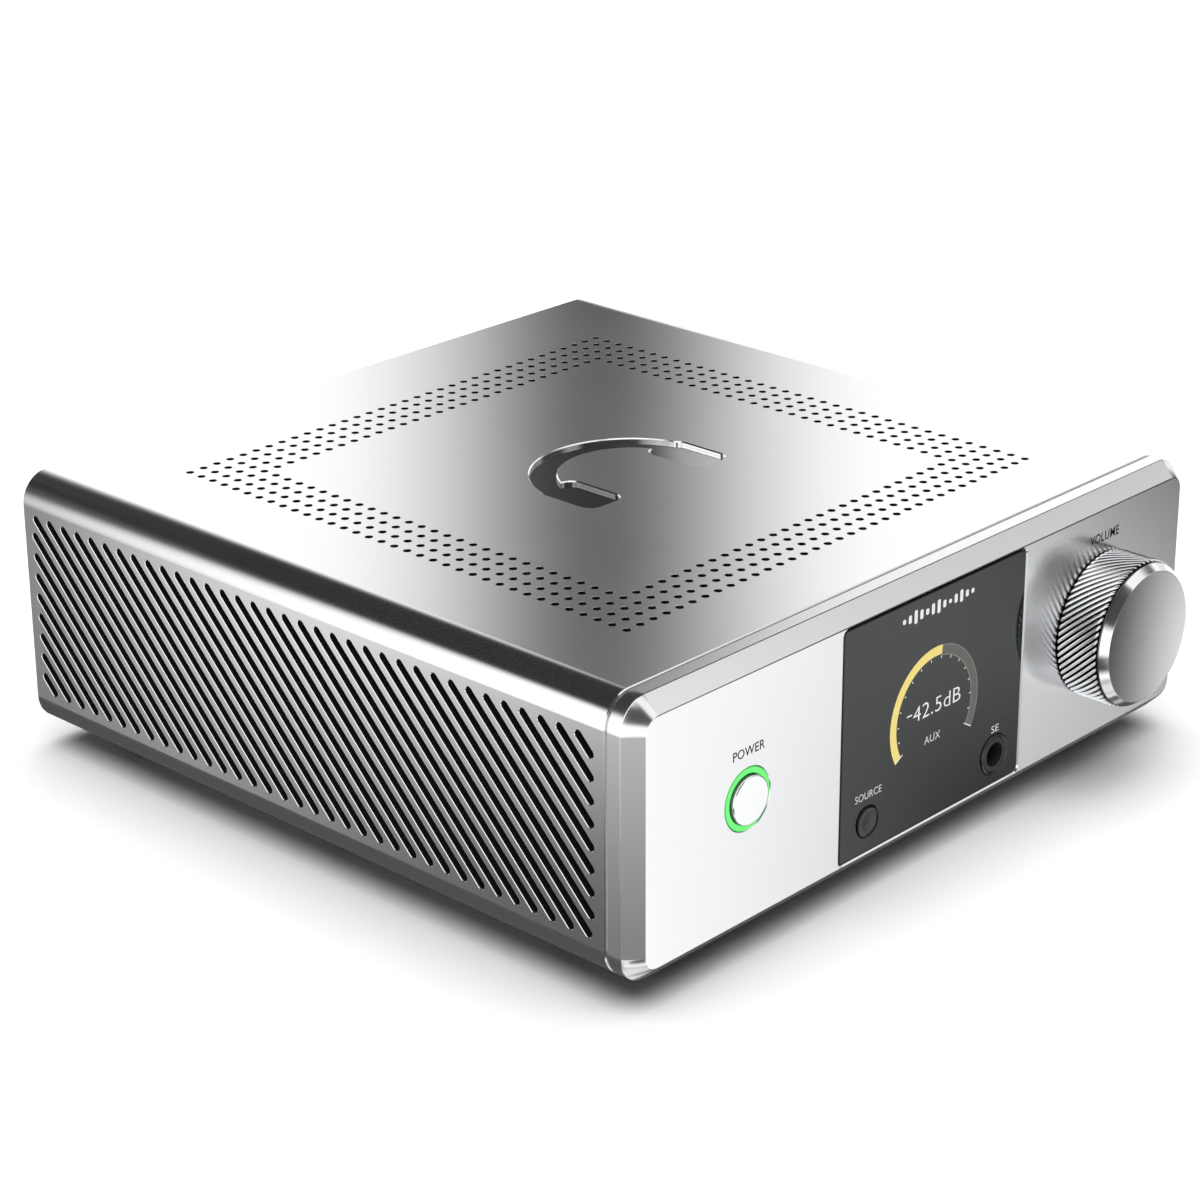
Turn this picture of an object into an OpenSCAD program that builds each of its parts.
// Half-width headphone amplifier, millimetres.
// +Z is up, the front faces -Y, and the origin is the middle of the footprint on the table.

/* [Body] */
// Width of the body
body_w = 215; // [210:1:225]
// Height of the body without its feet
body_h = 70; // [70:1:74]
// Depth of the body from the front face to the rear edge of the case
body_d = 214; // [212:1:222]
// Outer radius of the long case edges
corner_r = 8; // [7:0.5:9]
// Wall thickness of the extruded case
wall = 2.5; // [2.2:0.1:2.8]
// Height of the feet below the body
foot_h = 6; // [5:0.5:8]

/* [Front panel] */
// Thickness of the front panel
panel_t = 8; // [7.5:0.5:8.5]
// Width of the bevel around the front face
chamfer = 4; // [2:0.5:5]
// Width of the groove between the front panel and the case
groove_w = 0.7; // [0.4:0.1:1]
// Depth of that groove
groove_d = 0.8; // [0.5:0.1:1.2]

/* [Vents] */
// Distance between top vent holes
vent_pitch = 4.5; // [4.3:0.1:4.7]
// Diameter of a top vent hole
vent_d = 2.1; // [1.5:0.1:2.2]
// Number of holes along one edge of the square vent band
vent_count = 35; // [31:2:35]
// Number of hole rows across the vent band
vent_rows = 4; // [2:1:4]
// Width of a side slot
slot_w = 2.2; // [1.4:0.1:2.4]
// Distance between side slots, measured along the case
slot_pitch = 5.66; // [5.6:0.02:5.8]
// Number of side slots
slot_count = 43; // [41:1:43]
// Height of the slotted field between the slots' end centres
slot_rise = 48; // [44:1:48]
// Depth of the first slot's end centre behind the front face
slot_start = 13; // [13:0.5:14]

/* [Display] */
// Width of the glass window
window_w = 71; // [68:1:74]
// Height of the glass window
window_h = 60.3; // [58:0.1:61]
// Thickness of the glass window
window_t = 2.5; // [2:0.1:2.8]
// Width of the display module behind it
module_w = 52; // [48:1:54]
// Height of the display module
module_h = 36; // [34:1:37]

/* [Controls] */
// Distance of the power button and of the volume knob from the middle
control_x = 69.4; // [68:0.2:71]
// Radius of the power button
power_r = 6.1; // [5.8:0.05:6.1]
// How far the power button stands out of the panel
power_out = 1.2; // [0.8:0.05:1.2]
// Travel of the power button
power_travel = 0.6; // [0.3:0.1:0.7]
// Outer radius of the light ring around the power button
ring_r = 7.8; // [7.6:0.1:8.4]
// Radius of the source button
source_r = 4; // [3.6:0.1:4.2]
// How far the source button stands out of the glass
source_out = 0.5; // [0.4:0.05:0.8]
// Travel of the source button
source_travel = 0.4; // [0.2:0.05:0.4]
// Distance of the source button and of the headphone socket from the middle
lower_x = 25.2; // [24.5:0.1:25.5]
// Distance of these two below the middle of the body
lower_z = 22; // [21.5:0.1:22]
// Radius of the headphone socket's bore, for a 6.35 mm plug
jack_r = 3.25; // [3.2:0.01:3.3]
// Radius of the volume knob over its grip
knob_r = 19.5; // [18:0.5:20.5]
// Length of the volume knob
knob_l = 14; // [13.6:0.2:16]
// Gap between the knob and the panel
knob_gap = 0.6; // [0.4:0.1:1]

/* [Rear] */
// How far the phono sockets stand out of the rear panel
phono_out = 10; // [9:0.5:11]
// Radius of a phono socket's shell
phono_r = 4.15; // [4.1:0.05:4.2]
// Half of the mains rocker's swing
rocker_tilt = 9; // [7:0.5:10]

/* [Hidden] */
$fn = 48;
// Overlap that makes one solid of shapes that would only touch, and lets cutters pass through
bite = 0.01;
through = 1;
// Gaps round pieces that move or that are set in a hole
slip = 0.05;
set_gap = 0.1;
// Standard metric screw sizes: shank, head and hole radii of an M3 screw, and its head height
m3_shank = 1.45;
m3_hole = 1.5;
m3_head = 2.8;
m3_head_h = 1.8;
m4_shank = 2;
m4_hole = 2.1;
m4_head = 3.8;
m4_head_h = 2.2;
rear_recess = 0.5;
rear_t = 3;
overall_d = knob_gap + knob_l + body_d + phono_out - rear_recess;
front_y = knob_gap + knob_l - overall_d / 2;
rear_depth = body_d - rear_recess - rear_t;
mid_y = front_y + body_d / 2;
base_z = foot_h;
top_z = foot_h + body_h;
mid_z = foot_h + body_h / 2;
case_depth = panel_t + groove_w;
inner_w = body_w - 2 * wall;
inner_h = body_h - 2 * wall;
inner_r = corner_r - wall;
// Open underside between the case's two lips
lip_w = 15.5;
opening_w = body_w - 2 * lip_w;
// Screw ports that run along the case's inner corners
port_r = 3.2;
port_inset = 4.2;
port_x = inner_w / 2 - port_inset;
port_z = inner_h / 2 - port_inset;
rear_screw_l = 14;
// Overhang of the first and last side slots past their clipped field
slot_margin = 3.5;
// Steel plates
sheet = 1.5;
plate_w = opening_w + 10;
plate_z = base_z + wall;
floor_z = plate_z + sheet;
plate_start = case_depth + 0.3;
lip_screw_x = opening_w / 2 + 2.6;
lip_screw_depths = [30, 110, 190];
// Front frame and front board
frame_w = 190;
frame_start = panel_t;
frame_end = panel_t + sheet;
frame_top = mid_z + 29;
flange_end = frame_end + 12;
flange_screw_x = [-60, 0, 60];
flange_screw_depth = flange_end - 5;
spacer_l = 3;
board_t = 1.6;
front_board_start = frame_end + spacer_l;
front_board_end = front_board_start + board_t;
frame_screw_x = [-90, -46, 46, 90];
frame_screw_z = 24;
spacer_spots = [[-80, 22], [-10, -22], [34, 22], [80, -22]];
// Display, its window's corners, and the bezel's hole in both window and panel
module_z = mid_z + 4;
window_r = 1.4;
bezel_hole = 5.4;
jack_block_l = 24.5;
// Small switches behind the buttons: width, plunger radius, and the shares of the width at
// which their four leads stand
power_switch_w = 12;
power_plunger_r = 1.75;
power_stem_end = 7.5;
source_switch_w = 6;
source_plunger_r = 1.4;
source_stem_end = 8;
plunger_end = front_board_start - 1.5;
lead_across = 0.4;
lead_up = 0.35;
// Circuit boards inside
standoff_h = 10;
board_z = floor_z + standoff_h;
board_top = board_z + board_t;
main_x = 30;
main_w = 128;
main_start = 112;
main_d = 94;
supply_x = 46;
supply_w = 96;
supply_start = 40;
supply_d = 64;
standoff_inset = 5;
board_screw_grip = 4;
// Mains transformer
toroid_x = -54;
toroid_depth = 66;
toroid_r = 40;
toroid_h = 34;
toroid_edge = 6;
toroid_bore = 9;
toroid_bolt_r = 2.95;
toroid_bolt_hole = 3.1;
pad_t = 2;
dish = 3;
toroid_z = floor_z + pad_t;
// Heatsink on the left of the main board
heatsink_x = -70;
heatsink_depth = 152;
heatsink_lift = 4;
heatsink_t = 4;
// Volume encoder
encoder_start = 3;
bush_r = 4.5;
bush_out = 3;
shaft_r = 3;
shaft_out = 13;
shaft_end = 8;
nut_t = 2;
washer_t = 0.5;
hub_start = 5;
grub_depth = -8.5;
grub_l = 5;
// Rear sockets, seen from the front
inlet_x = -76;
inlet_w = 27.4;
inlet_h = 19.8;
inlet_l = 20;
inlet_flange_t = 2;
inlet_hollow_l = 17;
switch_x = -46;
switch_w = 13;
switch_h = 19.2;
switch_l = 16;
phono_x = [52, 78];
phono_z = [board_top + 8, board_top + 22];
coax_x = 34;
optical_x = 17;
usb_x = 1;
trigger_x = [-20, -9];
optical_z = board_top + 5.4;
usb_z = board_top + 2.2;
trigger_z = board_top + 4;
optical_w = 9.8;
usb_w = 9;
usb_h = 3.3;
trigger_r = 1.8;
trigger_collar = 2.85;
// Shallow recess in the top and the inlay that lies in it
emblem_depth = 1.4;
inlay_t = 0.4;
// Feet
foot_x = 78;
foot_depths = [27, 187];
foot_r = 11;
foot_screw_z = 4;
pad_r = 8.5;
pad_hole = 6;
pad_h = 2;
pad_proud = 0.8;

silver = [0.82, 0.83, 0.84];
steel = [0.62, 0.64, 0.66];
dark = [0.12, 0.12, 0.13];
copper = [0.72, 0.42, 0.2];
brass = [0.83, 0.66, 0.3];
board_green = [0.05, 0.3, 0.16];

// ---------- shared shapes ----------

// Puts a plan drawn in X and Z at a depth behind the front face, growing rearward
module inward(depth) {
    translate([0, front_y + depth, 0]) rotate([90, 0, 0]) mirror([0, 0, 1]) children();
}

// Puts a profile drawn in Y and Z across the middle of X
module across(width) {
    rotate([90, 0, 90]) translate([0, 0, -width / 2]) linear_extrude(width) children();
}

// Rectangle with true arcs at its corners
module rounded_rect(w, h, r) {
    square([w - 2 * r, h], center = true);
    square([w, h - 2 * r], center = true);
    for (sx = [-1, 1], sy = [-1, 1])
        translate([sx * (w / 2 - r), sy * (h / 2 - r)]) circle(r);
}

// Slot with round ends, its long side along the first axis
module round_slot(length, w) {
    square([length, w], center = true);
    for (s = [-1, 1]) translate([s * length / 2, 0]) circle(w / 2);
}

// Rounded plate whose first face, at z = 0, is bevelled all round
module bevelled_plate(w, h, t, r, bevel) {
    for (size = [[w - 2 * r, h, 0], [h - 2 * r, w, 90]])
        rotate([0, 0, size[2]]) rotate([90, 0, 90]) translate([0, 0, -size[0] / 2])
            linear_extrude(size[0]) polygon([
                [bevel - size[1] / 2, 0], [size[1] / 2 - bevel, 0], [size[1] / 2, bevel],
                [size[1] / 2, t], [-size[1] / 2, t], [-size[1] / 2, bevel]
            ]);
    for (sx = [-1, 1], sy = [-1, 1]) translate([sx * (w / 2 - r), sy * (h / 2 - r), 0]) {
        cylinder(h = bevel, r1 = r - bevel, r2 = r);
        translate([0, 0, bevel]) cylinder(h = t - bevel, r = r);
    }
}

// Pan-head screw along +Z: the head sits below z = 0 and the shank above it
module pan_screw(length, shank = m3_shank, head = m3_head, head_h = m3_head_h) {
    socket_r = head * 0.45;
    socket_h = head_h * 0.55;
    translate([0, 0, -bite]) cylinder(h = length + bite, r = shank);
    difference() {
        translate([0, 0, -head_h]) cylinder(h = head_h, r = head);
        translate([0, 0, -head_h - through]) cylinder(h = socket_h + through, r = socket_r, $fn = 6);
    }
}

// Countersunk screw along +Z: its flat head starts at z = 0
module flat_screw(length) {
    socket_r = 1.2;
    socket_h = 0.9;
    difference() {
        union() {
            cylinder(h = m3_head - m3_shank, r1 = m3_head, r2 = m3_shank);
            cylinder(h = length, r = m3_shank);
        }
        translate([0, 0, -through]) cylinder(h = socket_h + through, r = socket_r, $fn = 6);
    }
}

// Hole that takes a countersunk screw
module flat_screw_hole(length) {
    translate([0, 0, -through]) cylinder(h = through + bite, r = m3_head + slip);
    cylinder(h = m3_head - m3_shank, r1 = m3_head + slip, r2 = m3_hole);
    cylinder(h = length, r = m3_hole);
}

// Upright round can with a turned-in crimp near its foot
module can(r, h) {
    crimp = r * 0.08;
    crimp_z = h * 0.12;
    rotate_extrude() polygon([
        [0, 0], [r - crimp, 0], [r, crimp], [r, crimp_z], [r - crimp, crimp_z + crimp],
        [r, crimp_z + 2 * crimp], [r, h - crimp], [r - crimp, h], [0, h]
    ]);
}

// Round lead through a list of points, with slightly larger balls at its bends
module lead(points, r) {
    ball = 1.2 * r;
    for (i = [0 : len(points) - 2]) {
        step = points[i + 1] - points[i];
        flat = norm([step[0], step[1]]);
        translate(points[i]) rotate([0, atan2(flat, step[2]), atan2(step[1], step[0])])
            cylinder(h = norm(step), r = r, $fn = 24);
        if (i > 0) translate(points[i]) sphere(ball, $fn = 24);
    }
}

// ---------- casework ----------

module emblem_plan(gap) {
    band_out = 26.5;
    band_in = 19.5;
    bow_y = -8;
    cup_w = 12.5;
    cup_h = 19;
    cup_y = -9;
    translate([0, mid_y]) {
        translate([0, bow_y]) difference() {
            circle(band_out - gap, $fn = 96);
            circle(band_in + gap, $fn = 96);
            translate([-body_w / 2, -body_w]) square([body_w, body_w]);
        }
        for (s = [-1, 1]) translate([s * (band_out - cup_w / 2), cup_y])
            rounded_rect(cup_w - 2 * gap, cup_h - 2 * gap, 3.5);
    }
}

module panel_bores(depth_from, length) {
    inward(depth_from) linear_extrude(length) children();
}

module display_opening(gap) {
    translate([0, mid_z]) rounded_rect(window_w + 2 * gap, window_h + 2 * gap, window_r + gap);
}

module front_panel() {
    rim = 0.35;
    window_gap = 0.25;
    module_gap = 0.3;
    flange_r = 9.1;
    flange_depth = 4.5;
    pocket_w = 17;
    source_gap = 0.15;
    thread_depth = 3;
    color(silver) difference() {
        inward(0) translate([0, mid_z, 0]) bevelled_plate(body_w, body_h, panel_t, corner_r, chamfer);
        // glass pocket with a fine bevelled rim
        panel_bores(-through, window_t + through) display_opening(window_gap);
        inward(-bite) translate([0, mid_z, 0]) mirror([0, 0, 1]) translate([0, 0, -rim])
            bevelled_plate(window_w + 2 * (window_gap + rim), window_h + 2 * (window_gap + rim),
                rim + through, window_r + window_gap + rim, rim);
        // opening for the display module
        panel_bores(0, panel_t + through) translate([0, module_z])
            square([module_w + 2 * module_gap, module_h + 2 * module_gap], center = true);
        // power button and its light ring
        panel_bores(-through, panel_t + 2 * through) translate([-control_x, mid_z]) circle(ring_r + slip);
        panel_bores(flange_depth, panel_t) translate([-control_x, mid_z]) circle(flange_r);
        // source button and headphone socket
        panel_bores(0, panel_t + through) translate([-lower_x, mid_z - lower_z])
            circle(source_r + source_gap);
        panel_bores(0, panel_t + through) translate([lower_x, mid_z - lower_z]) circle(bezel_hole);
        // encoder bush and the pocket behind it
        panel_bores(-through, panel_t + 2 * through) translate([control_x, mid_z]) circle(bush_r + set_gap);
        panel_bores(encoder_start, panel_t) translate([control_x, mid_z])
            square([pocket_w, pocket_w], center = true);
        // tapped holes for the front frame
        panel_bores(thread_depth, panel_t) for (x = frame_screw_x, s = [-1, 1])
            translate([x, mid_z + s * frame_screw_z]) circle(m3_hole);
    }
}

module case_trim() {
    band = 3.2;
    color(steel) inward(panel_t) linear_extrude(groove_w) translate([0, mid_z]) difference() {
        rounded_rect(body_w - 2 * groove_d, body_h - 2 * groove_d, corner_r - groove_d);
        rounded_rect(body_w - 2 * (groove_d + band), body_h - 2 * (groove_d + band),
            corner_r - groove_d - band);
    }
}

// Centre line of one side slot, clipped to the slotted field: [depth, height] of both ends
function slot_end(i, side) =
    let (
        field_d = (slot_count - 1) * slot_pitch - slot_rise + 2 * slot_margin,
        offset = slot_start - slot_rise / 2 + slot_margin + i * slot_pitch,
        low = max(-slot_rise / 2, slot_start - offset),
        high = min(slot_rise / 2, slot_start + field_d - offset),
        z = side < 0 ? low : high
    )
    [front_y + offset + z, mid_z + z];

module side_slots() {
    for (i = [0 : slot_count - 1]) {
        low = slot_end(i, -1);
        high = slot_end(i, 1);
        translate((low + high) / 2) rotate(45) round_slot(norm(high - low), slot_w);
    }
}

// True where a lattice place lies in the outer band of the vent field
function in_band(i, j) = min(i, j, vent_count - 1 - i, vent_count - 1 - j) < vent_rows;

module top_holes() {
    first = -(vent_count - 1) / 2 * vent_pitch;
    for (i = [0 : vent_count - 1], j = [0 : vent_count - 1]) if (in_band(i, j))
        translate([first + i * vent_pitch, mid_y + first + j * vent_pitch])
            circle(vent_d / 2, $fn = 24);
}

module case_sleeve() {
    port_end = rear_depth - case_depth;
    pilot_d = 14;
    color(silver) difference() {
        union() {
            inward(case_depth) linear_extrude(body_d - case_depth) translate([0, mid_z]) difference() {
                rounded_rect(body_w, body_h, corner_r);
                rounded_rect(inner_w, inner_h, inner_r);
                translate([-opening_w / 2, -body_h]) square([opening_w, body_h]);
            }
            inward(case_depth) linear_extrude(port_end) translate([0, mid_z])
                for (sx = [-1, 1], sz = [-1, 1]) scale([sx, sz]) translate([port_x, port_z]) {
                    circle(port_r);
                    square(port_inset + bite);
                }
        }
        across(body_w + 2 * through) side_slots();
        translate([0, 0, top_z - wall - through]) linear_extrude(wall + 2 * through) top_holes();
        translate([0, 0, top_z - emblem_depth]) linear_extrude(emblem_depth + through) emblem_plan(0);
        // pilot holes for the rear screws, and countersunk holes in the lips
        inward(rear_depth - pilot_d) linear_extrude(pilot_d + through) translate([0, mid_z])
            for (sx = [-1, 1], sz = [-1, 1]) translate([sx * port_x, sz * port_z]) circle(m3_hole);
        for (s = [-1, 1], d = lip_screw_depths)
            translate([s * lip_screw_x, front_y + d, base_z]) flat_screw_hole(wall + through);
    }
}

module top_emblem() {
    color(dark) translate([0, 0, top_z - emblem_depth]) linear_extrude(inlay_t) emblem_plan(slip);
}

module chassis_plate() {
    length = rear_depth - plate_start;
    slit_l = 23;
    slit_w = 3;
    slit_x = 12;
    slit_pitch = 6;
    slit_count = 12;
    slit_depths = [58, 88, 132, 162];
    color(steel) difference() {
        translate([-plate_w / 2, front_y + plate_start, plate_z]) cube([plate_w, length, sheet]);
        translate([0, 0, plate_z - through]) linear_extrude(sheet + 2 * through) {
            for (s = [-1, 1], d = lip_screw_depths) translate([s * lip_screw_x, front_y + d]) circle(m3_hole);
            for (x = flange_screw_x) translate([x, front_y + flange_screw_depth]) circle(m3_hole);
            for (s = [-1, 1], d = foot_depths) translate([s * foot_x, front_y + d]) circle(m4_hole);
            for (p = standoff_places()) translate(p) circle(m3_hole);
            translate([toroid_x, front_y + toroid_depth]) circle(toroid_bolt_hole);
            // cooling slots under the boards
            for (i = [0 : slit_count - 1], d = slit_depths)
                translate([slit_x + i * slit_pitch, front_y + d]) rotate(90) round_slot(slit_l, slit_w);
        }
    }
}

module chassis_screws() {
    color(dark) {
        for (s = [-1, 1], d = lip_screw_depths)
            translate([s * lip_screw_x, front_y + d, base_z]) flat_screw(wall + sheet + 1);
        for (x = flange_screw_x)
            translate([x, front_y + flange_screw_depth, plate_z]) pan_screw(2 * sheet + 1);
    }
}

// Turned foot with a pocket for its screw and a groove for its rubber ring
module feet() {
    flare = 1.5;
    pocket_r = 5;
    color(dark) for (s = [-1, 1], d = foot_depths) translate([s * foot_x, front_y + d, 0])
        difference() {
            union() {
                translate([0, 0, pad_proud]) cylinder(h = flare, r1 = foot_r - flare, r2 = foot_r);
                translate([0, 0, pad_proud + flare])
                    cylinder(h = plate_z - pad_proud - flare, r = foot_r);
            }
            translate([0, 0, -through]) cylinder(h = foot_screw_z + through, r = pocket_r);
            cylinder(h = plate_z + through, r = m4_hole);
            difference() {
                translate([0, 0, -through]) cylinder(h = pad_h + through, r = pad_r + slip);
                translate([0, 0, -2 * through]) cylinder(h = pad_h + 3 * through, r = pad_hole);
            }
        }
}

module foot_pads() {
    color([0.2, 0.2, 0.2]) for (s = [-1, 1], d = foot_depths)
        translate([s * foot_x, front_y + d, 0]) linear_extrude(pad_h) difference() {
            circle(pad_r);
            circle(pad_hole + slip);
        }
}

module foot_screws() {
    length = plate_z - foot_screw_z + sheet + 2;
    color(steel) for (s = [-1, 1], d = foot_depths) translate([s * foot_x, front_y + d, foot_screw_z])
        pan_screw(length, m4_shank, m4_head, m4_head_h);
}

module rear_panel() {
    fit = 0.2;
    color(silver) difference() {
        inward(rear_depth) linear_extrude(rear_t) translate([0, mid_z])
            rounded_rect(inner_w - 2 * fit, inner_h - 2 * fit, inner_r - fit);
        inward(rear_depth - through) linear_extrude(rear_t + 2 * through) {
            translate([inlet_x, mid_z]) square([inlet_w + fit, inlet_h + fit], center = true);
            translate([switch_x, mid_z]) square([switch_w + fit, switch_h + fit], center = true);
            for (x = phono_x, z = phono_z) translate([x, z]) circle(phono_r + set_gap);
            translate([coax_x, phono_z[0]]) circle(phono_r + set_gap);
            translate([optical_x, optical_z]) square([optical_w, optical_w], center = true);
            translate([usb_x, usb_z]) round_slot(usb_w - usb_h + 2 * fit, usb_h + 2 * fit);
            for (x = trigger_x) translate([x, trigger_z]) circle(trigger_collar + slip);
        }
        for (sx = [-1, 1], sz = [-1, 1])
            translate([sx * port_x, front_y + rear_depth + rear_t, mid_z + sz * port_z])
                rotate([90, 0, 0]) flat_screw_hole(rear_t + through);
    }
}

module rear_screws() {
    color(dark) for (sx = [-1, 1], sz = [-1, 1])
        translate([sx * port_x, front_y + rear_depth + rear_t, mid_z + sz * port_z])
            rotate([90, 0, 0]) flat_screw(rear_screw_l);
}

// ---------- display and front controls ----------

module display_window() {
    set_back = 0.05;
    color([0.16, 0.17, 0.17]) inward(set_back) linear_extrude(window_t - set_back) difference() {
        display_opening(0);
        translate([-lower_x, mid_z - lower_z]) circle(source_r + set_gap);
        translate([lower_x, mid_z - lower_z]) circle(bezel_hole);
    }
}

module display_module() {
    glass_t = 1.2;
    frame_t = panel_t - window_t;
    inset = 1.5;
    color([0.25, 0.26, 0.27]) {
        inward(window_t) linear_extrude(glass_t) translate([0, module_z])
            square([module_w - 2 * inset, module_h - 2 * inset], center = true);
        inward(window_t + glass_t - bite) linear_extrude(frame_t - glass_t + bite)
            translate([0, module_z]) square([module_w, module_h], center = true);
    }
}

// Turned cap with a bevelled front edge and a stem behind it
module button_cap(r, out, skirt, stem_r, stem_end) {
    bevel = 0.25;
    rotate_extrude() polygon([
        [0, -out], [r - bevel, -out], [r, bevel - out], [r, skirt], [stem_r, skirt],
        [stem_r, stem_end], [0, stem_end]
    ]);
}

module power_button() {
    skirt = 3.5;
    stem_r = 2;
    color(silver) inward(0) translate([-control_x, mid_z, 0])
        button_cap(power_r, power_out, skirt, stem_r, power_stem_end);
}

module power_light_ring() {
    flange_r = 9;
    flange_start = 4.55;
    ring_end = 6.5;
    wall_r = power_r + set_gap;
    color([0.25, 0.95, 0.45]) inward(0) translate([-control_x, mid_z, 0]) rotate_extrude() polygon([
        [wall_r, 0], [ring_r, 0], [ring_r, flange_start], [flange_r, flange_start],
        [flange_r, ring_end], [wall_r, ring_end]
    ]);
}

// Plunger of a small switch, in line with a button's stem
module plunger(r, start) {
    inward(start) cylinder(h = plunger_end - start, r = r);
}

// Square body of a small switch, bored for its plunger and its travel
module tact_switch(size, r, travel) {
    body_l = 3.5;
    body_start = front_board_start - body_l;
    bore_end = plunger_end + travel + 0.4;
    lead_r = 0.35;
    lead_out = 0.8;
    difference() {
        inward(body_start) linear_extrude(body_l) square([size, size], center = true);
        inward(body_start - through) cylinder(h = bore_end - body_start + through, r = r + slip);
    }
    for (s = [-1, 1], t = [-1, 1]) translate([s * size * lead_across, 0, t * size * lead_up])
        inward(front_board_start - bite) cylinder(h = board_t + lead_out, r = lead_r);
}

module power_plunger() {
    color(dark) translate([-control_x, 0, mid_z]) plunger(power_plunger_r, power_stem_end);
}

module power_switch() {
    color([0.2, 0.2, 0.22]) translate([-control_x, 0, mid_z])
        tact_switch(power_switch_w, power_plunger_r, power_travel);
}

module power_leds() {
    count = 4;
    led_r = 9.7;
    led_size = [1.6, 0.8];
    led_t = 0.8;
    color([0.8, 0.95, 0.8]) for (i = [0 : count - 1])
        translate([-control_x, 0, mid_z]) rotate([0, 45 + i * 360 / count, 0]) translate([led_r, 0, 0])
            inward(front_board_start - led_t) linear_extrude(led_t) square(led_size, center = true);
}

module source_button() {
    skirt = 3;
    stem_r = 1.6;
    color([0.1, 0.1, 0.11]) inward(0) translate([-lower_x, mid_z - lower_z, 0])
        button_cap(source_r, source_out, skirt, stem_r, source_stem_end);
}

module source_plunger() {
    color(dark) translate([-lower_x, 0, mid_z - lower_z]) plunger(source_plunger_r, source_stem_end);
}

module source_switch() {
    color([0.2, 0.2, 0.22]) translate([-lower_x, 0, mid_z - lower_z])
        tact_switch(source_switch_w, source_plunger_r, source_travel);
}

// Socket body with a threaded nose that passes through frame, panel and glass
module headphone_jack() {
    nose_out = 0.3;
    nose_r = 4.5;
    block = 15;
    block_start = frame_end;
    bore_l = block_start + jack_block_l + nose_out;
    color(dark) translate([lower_x, 0, mid_z - lower_z]) difference() {
        union() {
            inward(-nose_out) cylinder(h = block_start + nose_out + bite, r = nose_r);
            inward(block_start) linear_extrude(jack_block_l) square([block, block], center = true);
        }
        inward(-nose_out - through) cylinder(h = bore_l + 2 * through, r = jack_r);
    }
}

module jack_bezel() {
    lip = 0.5;
    bevel = 0.3;
    inner_r = 4.55;
    outer_r = 5.3;
    length = 3;
    color([0.15, 0.15, 0.16]) inward(0) translate([lower_x, mid_z - lower_z, 0]) rotate_extrude() polygon([
        [inner_r, bevel - lip], [inner_r + bevel, -lip], [outer_r - bevel, -lip],
        [outer_r, bevel - lip], [outer_r, length], [inner_r, length]
    ]);
}

module jack_board() {
    size = 26;
    color(board_green) inward(frame_end + jack_block_l) linear_extrude(board_t)
        translate([lower_x, floor_z + 1 + size / 2]) square([size, size], center = true);
}

// ---------- volume control ----------

module volume_knob() {
    face_r = 17;
    rim_r = 19;
    rim_l = 1.8;
    land = 0.2;
    neck_l = 0.7;
    neck_r = 18.4;
    cavity_r = 15.5;
    cavity_end = 9;
    hub_r = 7;
    front = -knob_gap - knob_l;
    neck_start = front + rim_l + land;
    bore_gap = 0.02;
    color(silver) difference() {
        inward(0) translate([control_x, mid_z, 0]) rotate_extrude($fn = 96) polygon([
            [0, front], [face_r, front], [rim_r, front + rim_l], [rim_r, neck_start],
            [neck_r, neck_start], [neck_r, neck_start + neck_l], [knob_r, neck_start + neck_l],
            [knob_r, -knob_gap], [cavity_r, -knob_gap], [cavity_r, -cavity_end], [hub_r, -cavity_end],
            [hub_r, -hub_start], [0, -hub_start]
        ]);
        // blind bore for the shaft, and the tapped hole of its grub screw
        inward(-shaft_out - 0.2) translate([control_x, mid_z, 0])
            cylinder(h = shaft_out + 0.2 - hub_start + through, r = shaft_r + bore_gap);
        translate([control_x, front_y + grub_depth, mid_z]) mirror([0, 0, 1])
            cylinder(h = knob_r + through, r = m3_hole);
    }
}

module knob_grub_screw() {
    socket_r = 0.85;
    socket_h = 2;
    tip_gap = 0.03;
    color(dark) translate([control_x, front_y + grub_depth, mid_z - shaft_r - tip_gap - grub_l])
        difference() {
            cylinder(h = grub_l, r = m3_shank);
            translate([0, 0, -through]) cylinder(h = socket_h + through, r = socket_r, $fn = 6);
        }
}

// Shaft with the encoder's detent disc on its inner end
module encoder_shaft() {
    disc_r = 5.4;
    disc_start = 5;
    disc_t = 1.2;
    color(brass) translate([control_x, 0, mid_z]) {
        inward(-shaft_out) cylinder(h = shaft_out + shaft_end, r = shaft_r);
        inward(disc_start) cylinder(h = disc_t, r = disc_r);
    }
}

module encoder_bush() {
    color(brass) translate([control_x, 0, mid_z]) difference() {
        inward(-bush_out) cylinder(h = bush_out + encoder_start, r = bush_r);
        inward(-bush_out - through)
            cylinder(h = bush_out + encoder_start + 2 * through, r = shaft_r + slip);
    }
}

module encoder_base() {
    size = 14;
    cavity_r = 5.8;
    cavity_start = 4.5;
    cavity_end = 9;
    color([0.15, 0.2, 0.35]) translate([control_x, 0, mid_z]) difference() {
        inward(encoder_start) linear_extrude(front_board_start - encoder_start)
            square([size, size], center = true);
        inward(cavity_start) cylinder(h = cavity_end - cavity_start, r = cavity_r);
        inward(encoder_start - through) cylinder(h = cavity_end - encoder_start, r = shaft_r + slip);
    }
}

module encoder_nut() {
    corner = 7;
    thread_gap = 0.02;
    color(steel) translate([control_x, 0, mid_z]) inward(-washer_t - nut_t) linear_extrude(nut_t)
        difference() {
            circle(corner, $fn = 6);
            circle(bush_r + thread_gap);
        }
}

module encoder_washer() {
    washer_r = 8;
    color(steel) translate([control_x, 0, mid_z]) inward(-washer_t) linear_extrude(washer_t)
        difference() {
            circle(washer_r);
            circle(bush_r + set_gap);
        }
}

// ---------- front sub-assembly ----------

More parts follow.
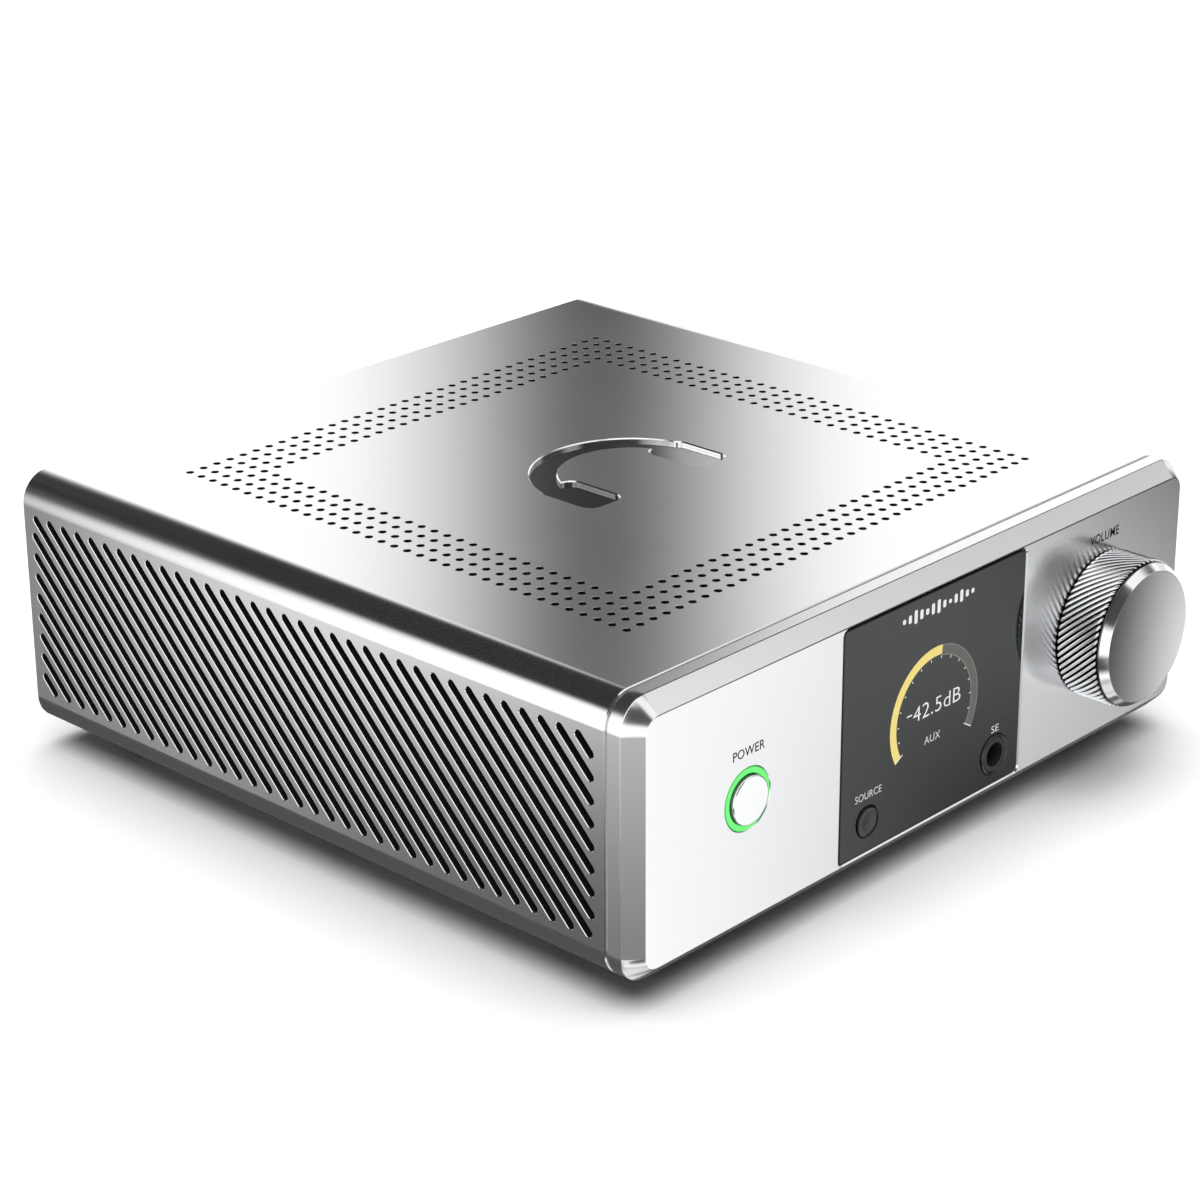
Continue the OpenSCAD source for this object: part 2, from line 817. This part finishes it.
// Places of the four spacers between front frame and front board
function spacer_places() = [for (p = spacer_spots) [p[0], mid_z + p[1]]];

module front_frame() {
    jack_hole = 5.2;
    power_hole = 22;
    source_hole = 7.5;
    encoder_hole = 15;
    cable_hole = [30, 8];
    color(steel) difference() {
        union() {
            inward(frame_start) linear_extrude(sheet) translate([-frame_w / 2, floor_z])
                square([frame_w, frame_top - floor_z]);
            inward(frame_start) linear_extrude(flange_end - frame_start)
                translate([-frame_w / 2, floor_z]) square([frame_w, sheet]);
        }
        inward(frame_start - through) linear_extrude(sheet + 2 * through) {
            translate([-control_x, mid_z]) square([power_hole, power_hole], center = true);
            translate([-lower_x, mid_z - lower_z]) square([source_hole, source_hole], center = true);
            translate([lower_x, mid_z - lower_z]) circle(jack_hole);
            translate([control_x, mid_z]) square([encoder_hole, encoder_hole], center = true);
            for (x = frame_screw_x, s = [-1, 1]) translate([x, mid_z + s * frame_screw_z]) circle(m3_hole);
            translate([0, module_z]) square(cable_hole, center = true);
        }
        translate([0, 0, floor_z - through]) linear_extrude(sheet + 2 * through)
            for (x = flange_screw_x) translate([x, front_y + flange_screw_depth]) circle(m3_hole);
        // clearance in the flange for the socket body
        translate([lower_x, front_y + frame_end + 7, floor_z + sheet])
            cube([16, 14, 1], center = true);
    }
}

module front_board() {
    half_w = 86;
    jack_cut = 16;
    lead_hole = 0.4;
    low = floor_z + sheet + 0.5;
    high = frame_top - 1;
    color(board_green) inward(front_board_start) linear_extrude(board_t) difference() {
        translate([-half_w, low]) square([2 * half_w, high - low]);
        translate([lower_x, mid_z - lower_z]) square([jack_cut, jack_cut], center = true);
        for (p = spacer_places()) translate(p) circle(m3_hole);
        for (part = [[-control_x, mid_z, power_switch_w], [-lower_x, mid_z - lower_z, source_switch_w]])
            for (s = [-1, 1], t = [-1, 1])
                translate([part[0] + s * part[2] * lead_across, part[1] + t * part[2] * lead_up])
                    circle(lead_hole);
    }
}

module front_spacers() {
    spacer_r = 3;
    color(brass) inward(frame_end) linear_extrude(spacer_l) for (p = spacer_places())
        translate(p) difference() {
            circle(spacer_r);
            circle(m3_hole);
        }
}

// Frame to panel, and board to spacers: every screw is driven from behind
module front_screws() {
    frame_screw_l = 5;
    color(steel) {
        for (x = frame_screw_x, s = [-1, 1])
            translate([x, front_y + frame_end, mid_z + s * frame_screw_z]) rotate([90, 0, 0])
                pan_screw(frame_screw_l);
        for (p = spacer_places()) translate([p[0], front_y + front_board_end, p[1]])
            rotate([90, 0, 0]) pan_screw(board_t + spacer_l - 0.2);
    }
}

// Side of a bent strip: each path point moved half the strip's thickness along its mitre
function strip_side(path, half) = [
    for (i = [0 : len(path) - 1])
        let (
            before = path[max(i - 1, 0)],
            after = path[min(i + 1, len(path) - 1)],
            into = i == 0 ? after - path[i] : path[i] - before,
            out = i == len(path) - 1 ? path[i] - before : after - path[i],
            mitre = into / norm(into) + out / norm(out)
        )
        path[i] + half * [-mitre[1], mitre[0]] / norm(mitre)
];

function reversed(list) = [for (i = [len(list) - 1 : -1 : 0]) list[i]];

// Flat cable over the supply board, from the front board to the main board
module front_ribbon() {
    half_t = 0.25;
    wide = 16;
    ribbon_x = -6;
    high = mid_z + 12;
    run_z = board_top + 44;
    finish = main_start + 8;
    plug_w = wide + 4;
    plug_h = 4;
    plug_t = 3;
    path = [
        [front_board_end + 1, high], [front_board_end + 8, high], [front_board_end + 14, high + 4],
        [front_board_end + 20, run_z], [finish - 8, run_z], [finish - 3, run_z - 3],
        [finish, run_z - 8], [finish, board_top + 2]
    ];
    color([0.75, 0.76, 0.78]) translate([ribbon_x, front_y, 0]) rotate([90, 0, 90])
        translate([0, 0, -wide / 2]) linear_extrude(wide)
            polygon(concat(strip_side(path, half_t), reversed(strip_side(path, -half_t))));
    color(dark) {
        translate([ribbon_x, front_y + front_board_end + plug_t / 2, high])
            cube([plug_w, plug_t, plug_h], center = true);
        translate([ribbon_x, front_y + finish, board_top + plug_h / 2])
            cube([plug_w, plug_h, plug_h], center = true);
    }
}

// ---------- electronics ----------

// Screw places of one board, [x, y] from its middle, size and inset
function corners(x, start, w, d) = [
    for (sx = [-1, 1], sy = [0, 1])
        [x + sx * (w / 2 - standoff_inset), front_y + start + standoff_inset + sy * (d - 2 * standoff_inset)]
];
function standoff_places() = concat(
    corners(main_x, main_start, main_w, main_d),
    corners(supply_x, supply_start, supply_w, supply_d)
);

module board(x, start, w, d) {
    color(board_green) translate([0, 0, board_z]) linear_extrude(board_t) difference() {
        translate([x - w / 2, front_y + start]) square([w, d]);
        for (p = corners(x, start, w, d)) translate(p) circle(m3_hole);
    }
}

module main_board() {
    board(main_x, main_start, main_w, main_d);
}

module supply_board() {
    board(supply_x, supply_start, supply_w, supply_d);
}

module board_standoffs() {
    corner = 3.2;
    color(brass) for (p = standoff_places()) translate([p[0], p[1], floor_z])
        linear_extrude(standoff_h) difference() {
            circle(corner, $fn = 6);
            circle(m3_hole);
        }
}

// One screw down through each board corner, and one up through the plate
module board_screws() {
    color(steel) for (p = standoff_places()) {
        translate([p[0], p[1], board_top]) mirror([0, 0, 1]) pan_screw(board_t + board_screw_grip);
        translate([p[0], p[1], plate_z]) pan_screw(sheet + board_screw_grip);
    }
}

// Wound ring with rounded edges
module toroid_core() {
    e = toroid_edge;
    color(copper) translate([toroid_x, front_y + toroid_depth, toroid_z]) rotate_extrude($fn = 96)
        union() {
            translate([toroid_bore + e, 0]) square([toroid_r - toroid_bore - 2 * e, toroid_h]);
            translate([toroid_bore, e]) square([toroid_r - toroid_bore, toroid_h - 2 * e]);
            for (x = [toroid_bore + e, toroid_r - e], y = [e, toroid_h - e]) translate([x, y]) circle(e);
        }
}

module toroid_pads() {
    inset = 4;
    hole_r = toroid_bore + 2;
    color(dark) translate([toroid_x, front_y + toroid_depth, 0]) for (z = [floor_z, toroid_z + toroid_h])
        translate([0, 0, z]) linear_extrude(pad_t) difference() {
            circle(toroid_r - inset, $fn = 96);
            circle(hole_r);
        }
}

// Dished steel washer that clamps the transformer
module toroid_washer() {
    plate_r = 32;
    dish_r = 8;
    hole_r = 3.2;
    z = toroid_z + toroid_h + pad_t;
    color(steel) translate([toroid_x, front_y + toroid_depth, z]) rotate_extrude($fn = 96) polygon([
        [hole_r, -dish], [dish_r - 1, -dish], [dish_r + 2, 0], [plate_r, 0], [plate_r, sheet],
        [dish_r + 1, sheet], [dish_r - 2, sheet - dish], [hole_r, sheet - dish]
    ]);
}

// Bolt up through the plate, with its nut in the dish of the washer
module toroid_bolt() {
    nut_z = toroid_z + toroid_h + pad_t + sheet - dish;
    nut_h = 4.5;
    nut_corner = 5.6;
    head_r = 5;
    head_h = 2.2;
    length = nut_z + nut_h + 2 - plate_z;
    color(steel) translate([toroid_x, front_y + toroid_depth, 0]) {
        translate([0, 0, plate_z]) pan_screw(length, toroid_bolt_r, head_r, head_h);
        translate([0, 0, nut_z]) linear_extrude(nut_h) difference() {
            circle(nut_corner, $fn = 6);
            circle(toroid_bolt_r + slip);
        }
    }
}

module filter_capacitors() {
    depths = [58, 86];
    first_x = 24;
    pitch = 25;
    can_r = 11;
    can_h = 38;
    color([0.1, 0.12, 0.2]) for (i = [0 : 2], d = depths)
        translate([first_x + i * pitch, front_y + d, board_top]) can(can_r, can_h);
}

// A row of small round cans and a row of film boxes behind it
module signal_capacitors() {
    can_pitch = 13;
    can_r = 4;
    can_h = 12;
    box = [12, 7, 10];
    box_pitch = 16;
    color([0.12, 0.12, 0.14]) for (i = [0 : 5])
        translate([i * can_pitch - 2, front_y + 126, board_top]) can(can_r, can_h);
    color([0.75, 0.2, 0.12]) for (i = [0 : 3])
        translate([24 + i * box_pitch, front_y + 142, board_top + box[2] / 2]) cube(box, center = true);
}

module relays() {
    case = [14, 10, 10];
    pitch = 18;
    color([0.85, 0.86, 0.88]) for (i = [0 : 2])
        translate([46 + i * pitch, front_y + 172, board_top + case[2] / 2]) cube(case, center = true);
}

// Flat chips with a row of legs on two sides: [x, depth, width] of each
module audio_chips() {
    places = [[-20, 150, 14], [-20, 176, 10], [6, 150, 8], [6, 172, 8], [24, 172, 8]];
    chip_h = 1.6;
    lift = 0.1;
    leg = [1.2, 0.5, 0.4];
    legs = 4;
    color(dark) for (p = places) translate([p[0], front_y + p[1], board_top]) {
        translate([0, 0, lift + chip_h / 2]) cube([p[2], p[2], chip_h], center = true);
        for (s = [-1, 1], i = [0 : legs - 1])
            translate([s * (p[2] / 2 + leg[0] / 3), (i - (legs - 1) / 2) * p[2] / (legs + 1), leg[2] / 2])
                cube(leg, center = true);
    }
}

// Finned extrusion standing on the left side of the main board
module heatsink() {
    fins = 9;
    fin_pitch = 7;
    fin_t = 2;
    fin_l = 14;
    height = 36;
    foot_w = 8;
    foot_inset = 8;
    span = (fins - 1) * fin_pitch + fin_t;
    color([0.2, 0.2, 0.21]) translate([heatsink_x, front_y + heatsink_depth, floor_z + heatsink_lift]) {
        translate([0, -span / 2, 0]) cube([heatsink_t, span, height]);
        for (i = [0 : fins - 1]) translate([-fin_l, (i - (fins - 1) / 2) * fin_pitch - fin_t / 2, 0])
            cube([fin_l + bite, fin_t, height]);
        for (s = [-1, 1]) translate([-foot_w / 2, s * (span / 2 - foot_inset) - foot_w / 2, -heatsink_lift])
            cube([foot_w, foot_w, heatsink_lift + bite]);
    }
}

// Power transistors clamped flat on the heatsink, each with three bent legs
module output_transistors() {
    pitch = 14;
    package = [4.5, 10, 15];
    leg = [0.6, 0.8, 6];
    leg_pitch = 2.5;
    leg_x = 1.8;
    x = heatsink_x + heatsink_t;
    color(dark) for (i = [0 : 3])
        translate([x, front_y + heatsink_depth + (i - 1.5) * pitch, floor_z + 20]) {
            translate([0, -package[1] / 2, 0]) cube(package);
            for (k = [-1, 0, 1]) translate([leg_x, k * leg_pitch - leg[1] / 2, -leg[2]])
                cube([leg[0], leg[1], leg[2] + bite]);
        }
}

// Transformer secondaries to the supply board
module supply_wires() {
    y0 = front_y + toroid_depth;
    z0 = toroid_z + toroid_h - toroid_edge;
    r = 1.1;
    pitch = 4;
    plug = [6, 14, 7];
    plug_x = 2.5;
    color([0.75, 0.6, 0.1]) for (i = [0 : 2]) {
        y = y0 + (i - 1) * pitch;
        lead([
            [toroid_x + toroid_r + 0.8, y, z0], [toroid_x + toroid_r + 5, y, z0 + 2],
            [1.5 + i * 0.2, y, z0 - 4], [plug_x, y, board_top + plug[2]]
        ], r);
    }
    color([0.9, 0.9, 0.88]) translate([plug_x, y0, board_top + plug[2] / 2]) cube(plug, center = true);
}

// Inlet to rocker switch, and rocker switch to transformer
module mains_wires() {
    r = 1.3;
    y_inlet = front_y + rear_depth + rear_t - inlet_l;
    y_switch = front_y + rear_depth + rear_t - switch_l;
    y_toroid = front_y + toroid_depth + toroid_r;
    loop = 7;
    color([0.45, 0.28, 0.15]) for (i = [0, 1]) {
        lead([
            [inlet_x + 7 - i * 2, y_inlet - 0.8, mid_z - 2 + i * 7],
            [inlet_x + 11 - i * 2, y_inlet - loop, mid_z - 2.5 + i * 7],
            [switch_x - 8, y_inlet - loop, mid_z - 3.5 + i * 7],
            [switch_x - 1, y_switch - 1, mid_z - 4 + i * 7]
        ], r);
        lead([
            [switch_x - 3 + i * 6, y_switch - 0.2, mid_z + 8],
            [switch_x - 3.5 + i * 6, y_switch - 2 * loop, mid_z + 7.5],
            [toroid_x - 3 + i * 6, y_toroid + loop, mid_z + 3],
            [toroid_x - 3 + i * 6, y_toroid + 2.2, mid_z - 7]
        ], r);
    }
}

// ---------- rear sockets ----------

// Mains inlet: flange outside, body inside, shaped hollow for the plug
module mains_inlet() {
    flange_w = 31;
    flange_h = 23.6;
    hollow_w = 24;
    hollow_h = 16.2;
    cut = 4;
    hollow_start = rear_depth + rear_t + inlet_flange_t - inlet_hollow_l;
    color(dark) translate([inlet_x, 0, mid_z]) difference() {
        union() {
            inward(rear_depth - inlet_l + rear_t) linear_extrude(inlet_l + bite)
                square([inlet_w, inlet_h], center = true);
            inward(rear_depth + rear_t) linear_extrude(inlet_flange_t) rounded_rect(flange_w, flange_h, 2);
        }
        inward(hollow_start) linear_extrude(inlet_hollow_l + through)
            difference() {
                square([hollow_w, hollow_h], center = true);
                for (s = [-1, 1]) translate([s * hollow_w / 2, hollow_h / 2]) rotate(45)
                    square([cut, 2 * cut], center = true);
            }
    }
}

module inlet_pins() {
    pin_l = 14;
    pin_size = [2, 4];
    places = [[-7, -2], [0, 2], [7, -2]];
    start = rear_depth + rear_t + inlet_flange_t - inlet_hollow_l;
    color(brass) for (p = places)
        translate([inlet_x + p[0], 0, mid_z + p[1]]) inward(start) linear_extrude(pin_l)
            square(pin_size, center = true);
}

// Frame of the mains rocker, open to the rear, with two bearing holes for its pivots
module switch_housing() {
    flange_w = 15;
    flange_h = 21;
    flange_t = 1.8;
    well_w = 10.4;
    well_h = 17;
    well_l = 9;
    bearing_l = 0.8;
    color(dark) translate([switch_x, 0, mid_z]) difference() {
        union() {
            inward(rear_depth - switch_l + rear_t) linear_extrude(switch_l + bite)
                square([switch_w, switch_h], center = true);
            inward(rear_depth + rear_t) linear_extrude(flange_t) rounded_rect(flange_w, flange_h, 1.5);
        }
        inward(rear_depth + rear_t + flange_t - well_l) linear_extrude(well_l + through)
            square([well_w, well_h], center = true);
        translate([0, front_y + rocker_depth(), 0]) rotate([0, 90, 0])
            cylinder(h = well_w + 2 * bearing_l, r = rocker_pin_r + slip, center = true);
    }
}

rocker_pin_r = 1;
function rocker_depth() = rear_depth + rear_t - 1.6;

// Rocker tipped to its on side, with a pivot pin on each side
module rocker() {
    paddle_w = 10;
    paddle_h = 15.6;
    paddle_d = 4.6;
    tail = 2;
    hollow_r = 22;
    hollow_depth = 1.1;
    pin_l = 11.4;
    color([0.1, 0.1, 0.1]) translate([switch_x, front_y + rocker_depth(), mid_z])
        rotate([rocker_tilt, 0, 0]) {
            rotate([90, 0, 90]) translate([0, 0, -paddle_w / 2]) linear_extrude(paddle_w) difference() {
                translate([-tail, -paddle_h / 2]) square([paddle_d + tail, paddle_h]);
                translate([paddle_d + hollow_r - hollow_depth, 0]) circle(hollow_r, $fn = 96);
            }
            rotate([0, 90, 0]) cylinder(h = pin_l, r = rocker_pin_r, center = true);
        }
}

// Insulating blocks behind the phono sockets: two twin blocks and a single one
module phono_housings() {
    block_w = 11;
    block_l = 14;
    above = 6;
    color(dark) for (block = [[phono_x[0], phono_z[1]], [phono_x[1], phono_z[1]], [coax_x, phono_z[0]]])
        inward(rear_depth - block_l) linear_extrude(block_l)
            translate([block[0] - block_w / 2, board_top]) square([block_w, block[1] - board_top + above]);
}

// Metal shells with an insulator ring and a centre contact
module phono_shells() {
    shell_t = 0.6;
    contact_r = 1.6;
    insulator_r = 2.7;
    insulator_back = 2.5;
    floor_t = 2;
    color(brass) for (p = concat([for (x = phono_x, z = phono_z) [x, z]], [[coax_x, phono_z[0]]]))
        inward(rear_depth) translate([p[0], p[1], 0]) {
            difference() {
                union() {
                    cylinder(h = rear_t + bite, r = phono_r - 0.2);
                    translate([0, 0, rear_t]) cylinder(h = phono_out, r = phono_r);
                }
                translate([0, 0, floor_t]) cylinder(h = rear_t + phono_out, r = phono_r - shell_t);
            }
            translate([0, 0, floor_t - bite]) difference() {
                cylinder(h = rear_t + phono_out - insulator_back, r = insulator_r);
                translate([0, 0, 1]) cylinder(h = rear_t + phono_out, r = contact_r);
            }
        }
}

// Optical, data and trigger sockets, all carried by the main board
module optical_socket() {
    length = 12;
    opening = 7;
    opening_l = 11;
    fit = 0.2;
    usb_back = 6;
    usb_floor = 4;
    usb_wall = 0.3;
    tongue = [6.6, 0.7];
    trigger_size = [8, 7.6];
    trigger_l = 12;
    collar_out = 0.8;
    color([0.14, 0.14, 0.15]) {
        difference() {
            translate([optical_x, 0, optical_z]) inward(rear_depth - length + rear_t)
                linear_extrude(length) square([optical_w - fit, optical_w - fit], center = true);
            translate([optical_x, 0, optical_z]) inward(rear_depth + rear_t - opening_l)
                linear_extrude(opening_l + through) square([opening, opening], center = true);
            translate([optical_x, front_y + shutter_depth(), shutter_z()]) rotate([0, 90, 0])
                cylinder(h = opening + 1.4, r = shutter_pin_r + slip, center = true);
        }
        difference() {
            translate([usb_x, 0, usb_z]) inward(rear_depth - usb_back) linear_extrude(usb_back + rear_t)
                round_slot(usb_w - usb_h, usb_h);
            translate([usb_x, 0, usb_z]) inward(rear_depth - usb_floor) linear_extrude(usb_back + rear_t)
                difference() {
                    round_slot(usb_w - usb_h, usb_h - 2 * usb_wall);
                    square(tongue, center = true);
                }
        }
        for (x = trigger_x) translate([x, 0, trigger_z]) difference() {
            union() {
                inward(rear_depth - trigger_l) linear_extrude(trigger_l) square(trigger_size, center = true);
                inward(rear_depth - bite) cylinder(h = rear_t + collar_out, r = trigger_collar);
            }
            inward(rear_depth - trigger_l + 1) cylinder(h = trigger_l + rear_t, r = trigger_r);
        }
    }
}

shutter_pin_r = 0.45;
function shutter_depth() = rear_depth + rear_t - 1;
function shutter_z() = optical_z + 2.9;

// Sprung flap that closes the optical socket, hung from two small pins
module optical_shutter() {
    flap_w = 6.7;
    flap_h = 6.2;
    flap_t = 0.6;
    pin_l = 8;
    color([0.05, 0.05, 0.05]) translate([optical_x, front_y + shutter_depth(), shutter_z()]) {
        translate([-flap_w / 2, -flap_t / 2, -flap_h]) cube([flap_w, flap_t, flap_h]);
        rotate([0, 90, 0]) cylinder(h = pin_l, r = shutter_pin_r, center = true);
    }
}

front_panel();
case_trim();
case_sleeve();
top_emblem();
chassis_plate();
chassis_screws();
rear_panel();
rear_screws();
feet();
foot_pads();
foot_screws();
display_window();
display_module();
power_button();
power_light_ring();
power_plunger();
power_switch();
power_leds();
source_button();
source_plunger();
source_switch();
headphone_jack();
jack_bezel();
jack_board();
volume_knob();
knob_grub_screw();
encoder_shaft();
encoder_bush();
encoder_base();
encoder_nut();
encoder_washer();
front_frame();
front_board();
front_spacers();
front_screws();
front_ribbon();
main_board();
supply_board();
board_standoffs();
board_screws();
toroid_core();
toroid_pads();
toroid_washer();
toroid_bolt();
filter_capacitors();
signal_capacitors();
relays();
audio_chips();
heatsink();
output_transistors();
supply_wires();
mains_wires();
mains_inlet();
inlet_pins();
switch_housing();
rocker();
phono_housings();
phono_shells();
optical_socket();
optical_shutter();
